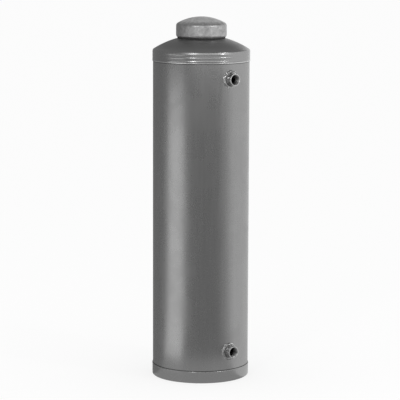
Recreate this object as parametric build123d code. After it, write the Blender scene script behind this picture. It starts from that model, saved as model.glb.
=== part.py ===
from build123d import *
from math import atan2, degrees, pi, sqrt
import os

# Insulated tank water heater, in millimetres. The origin is on the tank's axis at the floor, +Z is up,
# the two pipe sockets face -Y and the supply cable enters at the back, +Y.

# Outer casing
jacket_radius = 120.0
casing_sheet = 1.0
casing_fit = 0.1
pan_rim_height = 30.0
pan_corner_radius = 3.0
pan_step_height = 4.0
pan_step_overhang = 3.0
pan_step_width = 16.0
jacket_floor_gap = 0.5
jacket_lid_overlap = 18.0
seam_bend_radius = 6.5
seam_rise = 0.5
seam_end_gap = 2.0
seam_azimuth = 60.0
lid_rim_height = 25.0
lid_shoulder_radius = 6.0
lid_crown_radius = 222.0
lid_bead_count = 3
lid_bead_above_edge = 5.6
lid_bead_pitch = 8.3
lid_bead_radius = 5.5
lid_bead_rise = 0.22
hem_radius = 2.0
hem_rise = 0.5
hem_end_gap = 0.3

# Water vessel, its heads and the ring it stands on
foam_space = 22.0
vessel_wall = 1.5
vessel_shell_length = 724.0
head_crown_radius = 230.0
head_knuckle_radius = 12.0
head_flange_height = 6.0
base_foam_thickness = 11.7
skirt_inset = 3.8
skirt_wall = 1.2
foam_gap = 0.3

# Pipe sockets, G 3/4 female, with their welds and the pipes inside the vessel
socket_radius = 15.0
socket_reach = 18.0
socket_inside_reach = 3.0
thread_radius = 12.06
thread_length = 16.0
socket_mouth_chamfer = 1.0
socket_edge_radius = 0.8
inlet_above_shell_end = 25.0
outlet_below_shell_end = 22.5
weld_width = 7.2
weld_rise = 3.2
weld_round = 2.4
pipe_radius = 10.0
pipe_wall = 1.2
pipe_fit = 0.05
pipe_insertion = 8.0
pickup_axis_offset = 55.0
pickup_bend_radius = 24.0
pickup_head_gap = 9.0
spreader_overrun = 40.0
spreader_hole_radius = 3.0
spreader_hole_count = 7
spreader_hole_pitch = 16.0

# Heater flange on the vessel's top head
flange_radius = 52.0
flange_bore_radius = 34.0
flange_neck_wall = 2.0
flange_neck_inside_reach = 2.0
flange_ring_thickness = 10.0
flange_above_head = 4.7
gasket_thickness = 3.0
plate_thickness = 5.0
bolt_count = 6
bolt_circle_radius = 43.0
bolt_radius = 4.0
bolt_hole_clearance = 0.2
bolt_head_flats = 13.0
bolt_head_height = 5.5
bolt_head_chamfer = 0.9
washer_radius = 7.4
washer_thickness = 1.6
thread_fit = 0.05

# Heating elements: two hairpins in a row
element_sheath_radius = 4.0
element_row_offset = 8.0
element_inner_leg = 7.0
element_outer_leg = 22.0
element_depth = 350.0
sheath_stand_out = 4.0
bush_radius = 4.2
bush_height = 5.0
pin_collar_radius = 3.2
pin_collar_height = 3.0
pin_radius = 2.0
pin_stud_height = 7.0
pin_nut_flats = 7.0
pin_nut_height = 3.2
link_half_width = 4.0
link_corner_radius = 3.8
link_thickness = 1.0

# Thermostat
thermostat_centre_y = -16.0
thermostat_width = 48.0
thermostat_depth = 32.0
thermostat_height = 22.0
thermostat_corner_radius = 3.0
thermostat_edge_chamfer = 1.0
pocket_radius = 5.2
pocket_wall = 0.9
pocket_length = 285.0
pocket_boss_flats = 17.0
pocket_boss_height = 8.0
stem_radius = 4.0
stem_end_gap = 0.3
dial_offset_y = -2.0
dial_radius = 13.0
dial_base_height = 3.0
dial_grip_radius = 10.5
dial_grip_height = 6.0
dial_face_gap = 0.4
dial_shaft_radius = 3.0
dial_shaft_length = 10.0
dial_hole_end_gap = 1.0
dial_flute_count = 12
dial_flute_radius = 1.6
dial_pointer_width = 1.6
dial_pointer_rise = 0.8
shaft_clearance = 0.05
button_offset_x = 18.0
button_offset_y = 10.0
button_radius = 3.0
button_stand_out = 3.0
button_sunk_length = 6.0
button_travel = 2.0
button_end_gap = 1.0
button_clearance = 0.1
button_edge_radius = 0.7
blade_offset_x = 18.0
blade_width = 6.3
blade_thickness = 0.8
blade_reach = 8.0
blade_above_base = 18.0

# Supply terminals, earth and internal leads
block_width = 26.0
block_depth = 16.0
block_height = 14.0
block_front_y = 24.0
block_pole_offset = 6.5
block_edge_radius = 1.2
bracket_sheet = 1.5
bracket_height = 12.0
bracket_leg_inset = 1.5
bracket_leg_depth = 10.0
sleeve_radius = 3.0
sleeve_bore_radius = 1.6
terminal_screw_radius = 1.5
terminal_screw_head_radius = 2.4
terminal_screw_head_height = 2.0
screw_slot_width = 0.6
earth_x = 29.0
earth_y = 17.0
earth_stud_radius = 2.5
earth_stud_height = 14.0
earth_washer_radius = 5.0
earth_washer_thickness = 1.0
earth_nut_flats = 8.0
earth_nut_height = 4.0
lead_radius = 1.3
lead_insertion = 5.0
lead_bend_radius = 4.5
lead_lane_y = 17.5
lead_low_crossing_x = -3.0

# Neck collar, cap, seal and cap screws
crown_above_plate = 14.8
collar_radius = 57.0
collar_height = 55.0
cap_above_crown = 1.2
cap_radius = 62.8
cap_height = 51.4
cap_crown_radius = 120.0
cap_shoulder_radius = 9.0
cap_lip_radius = 6.5
cap_lift_clearance = 0.6
seal_width = 2.5
seal_cap_gap = 0.2
cap_screw_azimuths = (-10.0, 118.0)
cap_screw_above_edge = 15.9
cap_screw_radius = 2.0
cap_screw_head_radius = 3.6
cap_screw_head_height = 2.2
cap_screw_slot_clearance = 0.6
cap_nut_size = 7.0
cap_nut_thickness = 3.2
cap_nut_gap = 0.5
cap_screw_tip = 1.5

# Supply cable gland and the channel behind it
gland_below_lid_edge = 24.0
gland_thread_radius = 8.0
gland_bore_radius = 5.5
gland_hex_flats = 22.0
gland_hex_height = 6.0
gland_barrel_height = 9.0
gland_shank_length = 9.0
gland_washer_radius = 11.5
gland_washer_thickness = 1.5
gland_locknut_height = 5.0
gland_locknut_gap = 0.8
gland_nut_flats = 20.0
gland_nut_height = 16.0
gland_nut_round = 4.0
gland_nut_gap = 0.3
gland_nut_hole_radius = 4.2
gland_bush_bore_radius = 3.6
gland_bush_sunk = 11.0
gland_bush_reach = 4.0
channel_width = 26.0
channel_depth = 18.0
channel_floor_above_flange = 6.0
cable_window_width = 16.0
cable_window_height = 20.0

# Radii that follow from those sizes
jacket_inner_radius = jacket_radius - casing_sheet
lid_radius = jacket_radius + casing_fit + casing_sheet
vessel_radius = jacket_inner_radius - foam_space
vessel_inner_radius = vessel_radius - vessel_wall
pan_step_outer_radius = vessel_radius + pan_step_overhang
pan_step_inner_radius = pan_step_outer_radius - pan_step_width
foam_outer_radius = jacket_inner_radius - foam_gap
skirt_radius = vessel_radius - skirt_inset
collar_inner_radius = collar_radius - casing_sheet
waterway_radius = pipe_radius + pipe_fit
neck_radius = flange_bore_radius + flange_neck_wall

# Heights that follow from those sizes, from the floor up
head_reach = vessel_radius - head_knuckle_radius
head_rise = sqrt((head_crown_radius - head_knuckle_radius) ** 2 - head_reach ** 2)
head_depth = head_crown_radius - head_rise
pan_step_top = pan_step_height + casing_sheet
bottom_turn_height = pan_step_top + base_foam_thickness + head_depth
shell_bottom = bottom_turn_height + head_flange_height
shell_top = shell_bottom + vessel_shell_length
top_turn_height = shell_top + head_flange_height
head_top = top_turn_height + head_depth
inlet_height = shell_bottom + inlet_above_shell_end
outlet_height = shell_top - outlet_below_shell_end
ring_bottom = head_top + flange_above_head
ring_top = ring_bottom + flange_ring_thickness
plate_bottom = ring_top + gasket_thickness
plate_top = plate_bottom + plate_thickness
crown_at_collar = plate_top + crown_above_plate
lid_crown_centre = crown_at_collar - sqrt(lid_crown_radius ** 2 - collar_radius ** 2)
lid_shoulder_reach = lid_radius - lid_shoulder_radius
lid_turn_height = lid_crown_centre + sqrt(
    (lid_crown_radius - lid_shoulder_radius) ** 2 - lid_shoulder_reach ** 2
)
lid_edge_height = lid_turn_height - lid_rim_height
gland_height = lid_edge_height - gland_below_lid_edge
collar_bottom = ring_bottom
collar_top = collar_bottom + collar_height
cap_bottom = crown_at_collar + cap_above_crown
cap_top = cap_bottom + cap_height
cap_shoulder_reach = cap_radius - cap_shoulder_radius
cap_turn_height = cap_top - cap_crown_radius + sqrt(
    (cap_crown_radius - cap_shoulder_radius) ** 2 - cap_shoulder_reach ** 2
)
cap_screw_height = cap_bottom + cap_screw_above_edge
sheath_top = plate_top + sheath_stand_out
bush_top = sheath_top + bush_height
collar_of_pin_top = bush_top + pin_collar_height
thermostat_bottom = plate_top + pocket_boss_height
thermostat_top = thermostat_bottom + thermostat_height
thermostat_back_y = thermostat_centre_y + thermostat_depth / 2
dial_y = thermostat_centre_y + dial_offset_y
block_bottom = plate_top + bracket_height
pole_height = block_bottom + block_height / 2
blade_height = thermostat_bottom + blade_above_base

UPRIGHT = (Align.CENTER, Align.CENTER, Align.MIN)


def rod(radius, bottom, top):
    """A round bar about the Z axis."""
    return Pos(0, 0, bottom) * Cylinder(radius, top - bottom, align=UPRIGHT)


def tube(outer_radius, inner_radius, bottom, top):
    """A round tube about the Z axis."""
    return rod(outer_radius, bottom, top) - rod(inner_radius, bottom, top)


def hexagon(flats, bottom, top):
    """A hexagonal bar about the Z axis."""
    outline = RegularPolygon(flats / 2, 6, major_radius=False)
    return Pos(0, 0, bottom) * extrude(outline, amount=top - bottom)


def block(width, depth, bottom, top):
    """A box about the Z axis."""
    return Pos(0, 0, bottom) * Box(width, depth, top - bottom, align=UPRIGHT)


def dome(radius, crown_radius, knuckle_radius, turn_height, bottom):
    """A filled dish: upright sides that turn in over a knuckle to a spherical crown."""
    reach = radius - knuckle_radius
    rise = sqrt((crown_radius - knuckle_radius) ** 2 - reach ** 2)
    centre = turn_height - rise
    turn = degrees(atan2(rise, reach))
    sides = Polyline((0, centre + crown_radius), (0, bottom), (radius, bottom), (radius, turn_height))
    knuckle = CenterArc((reach, turn_height), knuckle_radius, 0, turn)
    crown = CenterArc((0, centre), crown_radius, turn, 90 - turn)
    return revolve(Plane.XZ * make_face(sides + knuckle + crown), Axis.Z)


def on_port_side(shape, height):
    """Turns a piece modelled along +Z to stand out along -Y at a height."""
    return Pos(0, 0, height) * Rot(90, 0, 0) * shape


def on_cable_side(shape):
    """Turns a piece modelled along +Z to stand out along +Y at the gland's height."""
    return Pos(0, 0, gland_height) * Rot(-90, 0, 0) * shape


def around(shape, azimuths):
    """Copies of a piece that lies along +X, turned about the Z axis."""
    return [Rot(0, 0, azimuth) * shape for azimuth in azimuths]


def group(solids):
    """Several separate solids as one node."""
    return Compound(children=[solid.solid() for solid in solids])


bolt_azimuths = [index * 360 / bolt_count for index in range(bolt_count)]
element_leg_places = [-element_outer_leg, -element_inner_leg, element_inner_leg, element_outer_leg]


def at_element_legs(shape):
    """Copies of a piece at each leg of the heating elements."""
    return [Pos(x, element_row_offset, 0) * shape for x in element_leg_places]


# Casing


def rolled_edge(radius, height):
    """The round hem that stands proud of a rim at its open edge."""
    return Pos(0, 0, height) * Torus(radius + hem_rise - hem_radius, hem_radius)


def make_base_pan():
    inner_radius = jacket_radius + casing_fit
    under = Polyline(
        (0, casing_sheet),
        (0, 0),
        (pan_step_inner_radius - pan_step_height, 0),
        (pan_step_inner_radius, pan_step_height),
        (pan_step_outer_radius, pan_step_height),
        (pan_step_outer_radius + pan_step_height, 0),
        (lid_radius - pan_corner_radius, 0),
    )
    outer_corner = CenterArc((lid_radius - pan_corner_radius, pan_corner_radius), pan_corner_radius, -90, 90)
    rim = Polyline(
        (lid_radius, pan_corner_radius),
        (lid_radius, pan_rim_height),
        (inner_radius, pan_rim_height),
        (inner_radius, pan_corner_radius),
    )
    inner_bend = pan_corner_radius - casing_sheet
    inner_corner = CenterArc((inner_radius - inner_bend, pan_corner_radius), inner_bend, 0, -90)
    floor = Polyline(
        (inner_radius - inner_bend, casing_sheet),
        (pan_step_outer_radius + pan_step_height, casing_sheet),
        (pan_step_outer_radius, pan_step_top),
        (pan_step_inner_radius, pan_step_top),
        (pan_step_inner_radius - pan_step_height, casing_sheet),
        (0, casing_sheet),
    )
    pressing = revolve(Plane.XZ * make_face(under + outer_corner + rim + inner_corner + floor), Axis.Z)
    hem_height = pan_rim_height - hem_radius - hem_end_gap
    hem = rolled_edge(lid_radius, hem_height) - rod(inner_radius, 0, pan_rim_height)
    return pressing + hem


def make_outer_jacket():
    bottom = pan_corner_radius + jacket_floor_gap
    sheet = tube(jacket_radius, jacket_inner_radius, bottom, lid_edge_height + jacket_lid_overlap)
    for height in (inlet_height, outlet_height):
        sheet -= on_port_side(rod(socket_radius, 0, jacket_radius + socket_reach), height)
    return sheet - on_cable_side(rod(gland_thread_radius, 0, jacket_radius + gland_hex_height))


def make_jacket_seam():
    bottom = pan_rim_height + seam_end_gap
    top = lid_edge_height - seam_end_gap
    offset = jacket_radius + seam_rise - seam_bend_radius
    bead = Pos(offset, 0, 0) * rod(seam_bend_radius, bottom, top) - rod(jacket_radius, bottom, top)
    return Rot(0, 0, seam_azimuth) * bead


def make_lid():
    outer = dome(lid_radius, lid_crown_radius, lid_shoulder_radius, lid_turn_height, lid_edge_height)
    inner = dome(
        lid_radius - casing_sheet,
        lid_crown_radius - casing_sheet,
        lid_shoulder_radius - casing_sheet,
        lid_turn_height,
        lid_edge_height,
    )
    rim = rod(lid_radius + lid_bead_rise, lid_edge_height, lid_turn_height)
    bead_centre = lid_radius + lid_bead_rise - lid_bead_radius
    for index in range(lid_bead_count):
        place = Pos(0, 0, lid_edge_height + lid_bead_above_edge + index * lid_bead_pitch)
        outer += rim & place * Torus(bead_centre, lid_bead_radius)
        inner += rim & place * Torus(bead_centre, lid_bead_radius - casing_sheet)
    outer += rolled_edge(lid_radius, lid_edge_height + hem_radius + hem_end_gap)
    lid_top = lid_crown_centre + lid_crown_radius
    neck_hole = rod(collar_radius + casing_fit, lid_edge_height, lid_top)
    return outer - inner - neck_hole


# Vessel


def top_dome(growth):
    """The outside of the vessel's top head, grown all over."""
    return dome(
        vessel_radius + growth,
        head_crown_radius + growth,
        head_knuckle_radius + growth,
        top_turn_height,
        shell_top,
    )


def head_inside_height(distance):
    """Height of the top head's inner face at a distance from the axis."""
    crown = head_crown_radius - vessel_wall
    return head_top - head_crown_radius + sqrt(crown ** 2 - distance ** 2)


def bottom_dome(growth):
    """The outside of the vessel's bottom head, grown all over."""
    upright = dome(
        vessel_radius + growth,
        head_crown_radius + growth,
        head_knuckle_radius + growth,
        -bottom_turn_height,
        -shell_bottom,
    )
    return Rot(180, 0, 0) * upright


def make_vessel_shell():
    shell = tube(vessel_radius, vessel_inner_radius, shell_bottom, shell_top)
    for height in (inlet_height, outlet_height):
        shell -= on_port_side(rod(socket_radius, 0, jacket_radius), height)
    return shell


def make_vessel_top_head():
    return top_dome(0) - top_dome(-vessel_wall) - rod(neck_radius, shell_top, ring_bottom)


def make_vessel_bottom_head():
    return bottom_dome(0) - bottom_dome(-vessel_wall)


def make_vessel_skirt():
    ring = tube(skirt_radius, skirt_radius - skirt_wall, pan_step_top, bottom_turn_height)
    return ring - bottom_dome(0)


# Insulation


def make_insulation_base():
    disc = rod(skirt_radius - skirt_wall - foam_gap, pan_step_top, bottom_turn_height)
    return disc - bottom_dome(foam_gap)


def cable_channel():
    """The space that the supply cable takes through the foam, from the gland to the collar's window."""
    rise_bottom = gland_height - gland_hex_flats
    rise = block(channel_width, channel_depth + foam_gap, rise_bottom, crown_at_collar)
    rise = Pos(0, foam_outer_radius - channel_depth / 2, 0) * rise
    run_bottom = ring_bottom + channel_floor_above_flange
    run_centre = (collar_radius + foam_outer_radius) / 2
    run_length = foam_outer_radius - collar_radius + casing_sheet
    run = Pos(0, run_centre, 0) * block(channel_width, run_length, run_bottom, crown_at_collar)
    return rise + run


def make_insulation_sleeve():
    sleeve = tube(foam_outer_radius, vessel_radius + foam_gap, pan_step_top, top_turn_height)
    for height in (inlet_height, outlet_height):
        sleeve -= on_port_side(rod(socket_radius + foam_gap, 0, jacket_radius), height)
    return sleeve - cable_channel()


def make_insulation_top():
    inset = casing_sheet + foam_gap
    under_lid = dome(
        lid_radius - inset,
        lid_crown_radius - inset,
        lid_shoulder_radius - inset,
        lid_turn_height,
        top_turn_height,
    )
    foam = under_lid & rod(foam_outer_radius, top_turn_height, crown_at_collar)
    foam -= top_dome(foam_gap)
    foam -= rod(collar_radius + foam_gap, ring_bottom, crown_at_collar)
    foam -= rod(neck_radius + foam_gap, shell_top, ring_bottom)
    return foam - cable_channel()


# Pipe sockets


def make_socket(height):
    inner_end = vessel_inner_radius - socket_inside_reach
    face = jacket_radius + socket_reach
    body = rod(socket_radius, inner_end, face)
    body = fillet(body.edges().sort_by(Axis.Z)[-1], socket_edge_radius)
    body -= rod(waterway_radius, inner_end, face)
    body -= rod(thread_radius, face - thread_length, face)
    mouth = Cone(
        thread_radius,
        thread_radius + socket_mouth_chamfer,
        socket_mouth_chamfer,
        align=(Align.CENTER, Align.CENTER, Align.MAX),
    )
    return on_port_side(body - Pos(0, 0, face) * mouth, height)


def make_weld(height):
    bead = rod(jacket_radius + weld_rise, height - 2 * socket_radius, height + 2 * socket_radius)
    bead &= on_port_side(rod(socket_radius + weld_width, 0, jacket_radius + socket_reach), height)
    crest = bead.edges().filter_by(lambda edge: edge.center().Y < -jacket_radius).sort_by(SortBy.LENGTH)[-1]
    bead = fillet(crest, weld_round)
    bead -= rod(jacket_radius, height - 2 * socket_radius, height + 2 * socket_radius)
    return bead - on_port_side(rod(socket_radius, 0, jacket_radius + socket_reach), height)


def pipe_start():
    """Distance from the tank's axis to the outer end of a pipe that is pushed into its socket."""
    return vessel_inner_radius - socket_inside_reach + pipe_insertion


def make_hot_outlet_pickup():
    mouth_height = head_inside_height(pickup_axis_offset) - pickup_head_gap
    path = FilletPolyline(
        (0, -pipe_start(), outlet_height),
        (0, -pickup_axis_offset, outlet_height),
        (0, -pickup_axis_offset, mouth_height),
        radius=pickup_bend_radius,
    )
    section = Circle(pipe_radius) - Circle(pipe_radius - pipe_wall)
    return sweep(Plane(path @ 0, z_dir=path % 0) * section, path=path)


def make_cold_inlet_spreader():
    inner_end = -spreader_overrun
    pipe = tube(pipe_radius, pipe_radius - pipe_wall, inner_end, pipe_start())
    pipe += rod(pipe_radius, inner_end, inner_end + pipe_wall)
    for index in range(spreader_hole_count):
        along = inner_end + (index + 1) * spreader_hole_pitch
        pipe -= Pos(0, 0, along) * Rot(90, 0, 0) * rod(spreader_hole_radius, 0, 2 * pipe_radius)
    return on_port_side(pipe, inlet_height)


# Heater flange


def bolt_holes(radius, bottom, top):
    return around(Pos(bolt_circle_radius, 0, 0) * rod(radius, bottom, top), bolt_azimuths)


def make_heater_flange():
    neck_bottom = head_inside_height(neck_radius) - flange_neck_inside_reach
    ring = rod(flange_radius, ring_bottom, ring_top) + rod(neck_radius, neck_bottom, ring_bottom)
    ring -= rod(flange_bore_radius, neck_bottom, ring_top)
    return ring - bolt_holes(bolt_radius + thread_fit, ring_bottom, ring_top)


def make_flange_gasket():
    ring = tube(flange_radius, flange_bore_radius, ring_top, plate_bottom)
    return ring - bolt_holes(bolt_radius + bolt_hole_clearance, ring_top, plate_bottom)


def make_heater_plate():
    plate = rod(flange_radius, plate_bottom, plate_top)
    plate -= bolt_holes(bolt_radius + bolt_hole_clearance, plate_bottom, plate_top)
    plate -= at_element_legs(rod(element_sheath_radius, plate_bottom, plate_top))
    return plate - Pos(0, thermostat_centre_y, 0) * rod(pocket_radius, plate_bottom, plate_top)


def make_flange_washers():
    washer = tube(washer_radius, bolt_radius + bolt_hole_clearance, plate_top, plate_top + washer_thickness)
    return group(around(Pos(bolt_circle_radius, 0, 0) * washer, bolt_azimuths))


def make_flange_bolts():
    seat = plate_top + washer_thickness
    head = rod(bolt_head_flats / sqrt(3), seat, seat + bolt_head_height)
    head = chamfer(head.edges().sort_by(Axis.Z)[-1], bolt_head_chamfer)
    head &= hexagon(bolt_head_flats, seat, seat + bolt_head_height)
    bolt = head + rod(bolt_radius, ring_bottom, seat)
    return group(around(Pos(bolt_circle_radius, 0, 0) * bolt, bolt_azimuths))


# Heating elements


def make_heating_elements():
    bottom = plate_bottom - element_depth
    turn_radius = (element_outer_leg - element_inner_leg) / 2
    row = element_row_offset
    hairpins = []
    for left in (-element_outer_leg, element_inner_leg):
        right = left + 2 * turn_radius
        lowest = (left + turn_radius, row, bottom - turn_radius)
        path = Line((left, row, sheath_top), (left, row, bottom))
        path += ThreePointArc((left, row, bottom), lowest, (right, row, bottom))
        path += Line((right, row, bottom), (right, row, sheath_top))
        start = Plane((left, row, sheath_top), z_dir=(0, 0, -1))
        hairpins.append(sweep(start * Circle(element_sheath_radius), path=path))
    return group(hairpins)


def make_element_bushes():
    return group(at_element_legs(rod(bush_radius, sheath_top, bush_top)))


def make_element_pins():
    pin = rod(pin_collar_radius, bush_top, collar_of_pin_top)
    pin += rod(pin_radius, collar_of_pin_top, collar_of_pin_top + pin_stud_height)
    return group(at_element_legs(pin))


def make_element_link():
    length = 2 * (element_inner_leg + link_half_width)
    strip = block(length, 2 * link_half_width, collar_of_pin_top, collar_of_pin_top + link_thickness)
    strip = fillet(strip.edges().filter_by(Axis.Z), link_corner_radius)
    link = Pos(0, element_row_offset, 0) * strip
    return link - at_element_legs(rod(pin_radius, collar_of_pin_top, collar_of_pin_top + link_thickness))


def make_element_nuts():
    seat = collar_of_pin_top + link_thickness
    nut = hexagon(pin_nut_flats, seat, seat + pin_nut_height) - rod(pin_radius, seat, seat + pin_nut_height)
    return group(at_element_legs(nut))


# Thermostat


def make_thermostat_pocket():
    bottom = plate_bottom - pocket_length
    pocket = rod(pocket_radius, bottom, plate_top) + hexagon(pocket_boss_flats, plate_top, thermostat_bottom)
    pocket -= rod(pocket_radius - pocket_wall, bottom + pocket_wall, thermostat_bottom)
    return Pos(0, thermostat_centre_y, 0) * pocket


def make_thermostat_stem():
    bottom = plate_bottom - pocket_length + pocket_wall + stem_end_gap
    return Pos(0, thermostat_centre_y, 0) * rod(stem_radius, bottom, thermostat_bottom)


def make_thermostat_body():
    case = block(thermostat_width, thermostat_depth, thermostat_bottom, thermostat_top)
    case = fillet(case.edges().filter_by(Axis.Z), thermostat_corner_radius)
    case = chamfer(case.faces().sort_by(Axis.Z)[-1].edges(), thermostat_edge_chamfer)
    case = Pos(0, thermostat_centre_y, 0) * case
    shaft_floor = thermostat_top + dial_face_gap - dial_shaft_length - dial_hole_end_gap
    case -= Pos(0, dial_y, 0) * rod(dial_shaft_radius + shaft_clearance, shaft_floor, thermostat_top)
    button_floor = thermostat_top - button_sunk_length - button_travel - button_end_gap
    button_hole = rod(button_radius + button_clearance, button_floor, thermostat_top)
    return case - at_button(button_hole)


def at_button(shape):
    return Pos(button_offset_x, thermostat_centre_y + button_offset_y, 0) * shape


def make_thermostat_blades():
    blades = []
    for x in (-blade_offset_x, blade_offset_x):
        middle = thermostat_back_y + blade_reach / 2
        blades.append(Pos(x, middle, blade_height) * Box(blade_width, blade_reach, blade_thickness))
    return group(blades)


def make_thermostat_dial():
    seat = thermostat_top + dial_face_gap
    grip_bottom = seat + dial_base_height
    grip_top = grip_bottom + dial_grip_height
    grip = rod(dial_grip_radius, grip_bottom, grip_top)
    flute = Pos(dial_grip_radius, 0, 0) * rod(dial_flute_radius, grip_bottom, grip_top)
    grip -= around(flute, [index * 360 / dial_flute_count for index in range(dial_flute_count)])
    disc = chamfer(rod(dial_radius, seat, grip_bottom).edges().sort_by(Axis.Z)[-1], dial_base_height / 3)
    pointer_length = dial_grip_radius - dial_flute_radius
    pointer = Pos(0, pointer_length / 2, 0) * block(
        dial_pointer_width, pointer_length, grip_top, grip_top + dial_pointer_rise
    )
    shaft = rod(dial_shaft_radius, seat - dial_shaft_length, seat)
    return Pos(0, dial_y, 0) * (disc + grip + pointer + shaft)


def make_reset_button():
    top = thermostat_top + button_stand_out
    stem = rod(button_radius, thermostat_top - button_sunk_length, top)
    return at_button(fillet(stem.edges().sort_by(Axis.Z)[-1], button_edge_radius))


# Supply terminals and earth


def at_block(shape):
    return Pos(0, block_front_y + block_depth / 2, 0) * shape


def at_poles(shape):
    return [at_block(Pos(x, 0, 0) * shape) for x in (-block_pole_offset, block_pole_offset)]


def make_terminal_bracket():
    shelf = block(block_width, block_depth, block_bottom - bracket_sheet, block_bottom)
    leg = block(bracket_sheet, bracket_leg_depth, plate_top, block_bottom - bracket_sheet)
    leg_x = block_width / 2 - bracket_leg_inset - bracket_sheet / 2
    return at_block(shelf + Pos(-leg_x, 0, 0) * leg + Pos(leg_x, 0, 0) * leg)


def sleeve_bar(radius):
    """A bar along Y through the terminal block's pole."""
    return Pos(0, -block_depth / 2, pole_height) * Rot(-90, 0, 0) * rod(radius, 0, block_depth)


def make_terminal_block():
    top = block_bottom + block_height
    body = block(block_width, block_depth, block_bottom, top)
    body = fillet(body.edges().filter_by(Axis.Z), block_edge_radius)
    body = at_block(fillet(body.faces().sort_by(Axis.Z)[-1].edges(), block_edge_radius))
    body -= at_poles(sleeve_bar(sleeve_radius))
    return body - at_poles(rod(terminal_screw_head_radius + thread_fit, pole_height, top))


def make_terminal_sleeves():
    sleeve = sleeve_bar(sleeve_radius) - sleeve_bar(sleeve_bore_radius)
    sleeve -= rod(terminal_screw_radius, pole_height, pole_height + 2 * sleeve_radius)
    return group(at_poles(sleeve))


def make_terminal_screws():
    seat = pole_height + sleeve_radius
    head_top = seat + terminal_screw_head_height
    screw = rod(terminal_screw_head_radius, seat, head_top)
    screw += rod(terminal_screw_radius, pole_height + sleeve_bore_radius, seat)
    slot_bottom = seat + terminal_screw_head_height / 2
    screw -= block(2 * terminal_screw_head_radius, screw_slot_width, slot_bottom, head_top)
    return group(at_poles(screw))


def make_earth_stud():
    return Pos(earth_x, earth_y, 0) * rod(earth_stud_radius, plate_top, plate_top + earth_stud_height)


def make_earth_nuts():
    lower_nut_top = plate_top + earth_nut_height
    lower_washer_top = lower_nut_top + earth_washer_thickness
    upper_washer_top = lower_washer_top + earth_washer_thickness
    upper_nut_top = upper_washer_top + earth_nut_height
    stack = [
        hexagon(earth_nut_flats, plate_top, lower_nut_top),
        rod(earth_washer_radius, lower_nut_top, lower_washer_top),
        rod(earth_washer_radius, lower_washer_top, upper_washer_top),
        hexagon(earth_nut_flats, upper_washer_top, upper_nut_top),
    ]
    hole = rod(earth_stud_radius + thread_fit, plate_top, upper_nut_top)
    return group([Pos(earth_x, earth_y, 0) * (piece - hole) for piece in stack])


# Internal leads


def lead(points):
    path = FilletPolyline(*points, radius=lead_bend_radius)
    wire = sweep(Plane(path @ 0, z_dir=path % 0) * Circle(lead_radius), path=path)
    expected = pi * lead_radius ** 2 * path.length
    print("lead volume over section times length", round(wire.volume / expected, 4))
    return wire


def pole_end(x):
    return (x, block_front_y + lead_insertion, pole_height)


def make_live_lead():
    end_y = thermostat_back_y + blade_reach
    return lead([
        pole_end(-block_pole_offset),
        (-block_pole_offset, lead_lane_y, pole_height),
        (-blade_offset_x, lead_lane_y - lead_radius, blade_height),
        (-blade_offset_x, end_y, blade_height),
    ])


pin_lead_y = element_row_offset + pin_collar_radius
pin_lead_height = bush_top + pin_collar_height / 2


def make_neutral_lead():
    return lead([
        pole_end(block_pole_offset),
        (block_pole_offset, lead_lane_y + lead_radius, pole_height),
        (lead_low_crossing_x, lead_lane_y, pin_lead_height),
        (-element_outer_leg, lead_lane_y, pin_lead_height),
        (-element_outer_leg, pin_lead_y, pin_lead_height),
    ])


def make_switched_lead():
    end_y = thermostat_back_y + blade_reach
    return lead([
        (blade_offset_x, end_y, blade_height),
        (blade_offset_x, lead_lane_y, blade_height),
        (element_outer_leg, lead_lane_y, pin_lead_height),
        (element_outer_leg, pin_lead_y, pin_lead_height),
    ])


# Collar, cap and seal


def screw_axis(shape):
    """Lays a piece modelled along +Z out along +X at the cap screws' height."""
    return Pos(0, 0, cap_screw_height) * Rot(0, 90, 0) * shape


def make_neck_collar():
    ring = tube(collar_radius, collar_inner_radius, collar_bottom, collar_top)
    slot_width = 2 * (cap_screw_radius + cap_screw_slot_clearance)
    slot = Pos(collar_radius / 2, 0, 0) * block(collar_radius, slot_width, cap_screw_height, collar_top)
    slot += screw_axis(rod(slot_width / 2, 0, collar_radius))
    ring -= around(slot, cap_screw_azimuths)
    window_top = collar_bottom + cable_window_height
    window = block(cable_window_width, collar_radius, collar_bottom, window_top)
    return ring - Pos(0, collar_radius / 2 + casing_sheet, 0) * window


def make_cap():
    outer = dome(cap_radius, cap_crown_radius, cap_shoulder_radius, cap_turn_height, cap_bottom)
    outer = fillet(outer.edges().group_by(Axis.Z)[0], cap_lip_radius)
    inner = dome(
        cap_radius - casing_sheet,
        cap_crown_radius - casing_sheet,
        cap_shoulder_radius - casing_sheet,
        cap_turn_height,
        cap_bottom + casing_sheet,
    )
    inner = fillet(inner.edges().group_by(Axis.Z)[0], cap_lip_radius - casing_sheet)
    mouth = rod(collar_radius + cap_lift_clearance, cap_bottom, cap_bottom + cap_lip_radius)
    hole = screw_axis(rod(cap_screw_radius + thread_fit, collar_inner_radius, cap_radius + casing_sheet))
    return outer - inner - mouth - around(hole, cap_screw_azimuths)


def make_cap_seal():
    inner_radius = collar_radius + casing_fit
    top = cap_bottom - seal_cap_gap
    ring = tube(inner_radius + seal_width, inner_radius, lid_turn_height, top)
    return ring - dome(lid_radius, lid_crown_radius, lid_shoulder_radius, lid_turn_height, lid_edge_height)


def make_cap_screws():
    tip = collar_inner_radius - cap_nut_gap - cap_nut_thickness - cap_screw_tip
    screw = rod(cap_screw_radius, tip, cap_radius)
    head_end = cap_radius + cap_screw_head_height
    head = rod(cap_screw_head_radius, cap_radius, head_end)
    screw += fillet(head.edges().sort_by(Axis.Z)[-1], cap_screw_head_height / 2)
    slot_bottom = cap_radius + cap_screw_head_height / 2
    screw -= block(2 * cap_screw_head_radius, screw_slot_width, slot_bottom, head_end)
    return group(around(screw_axis(screw), cap_screw_azimuths))


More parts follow.
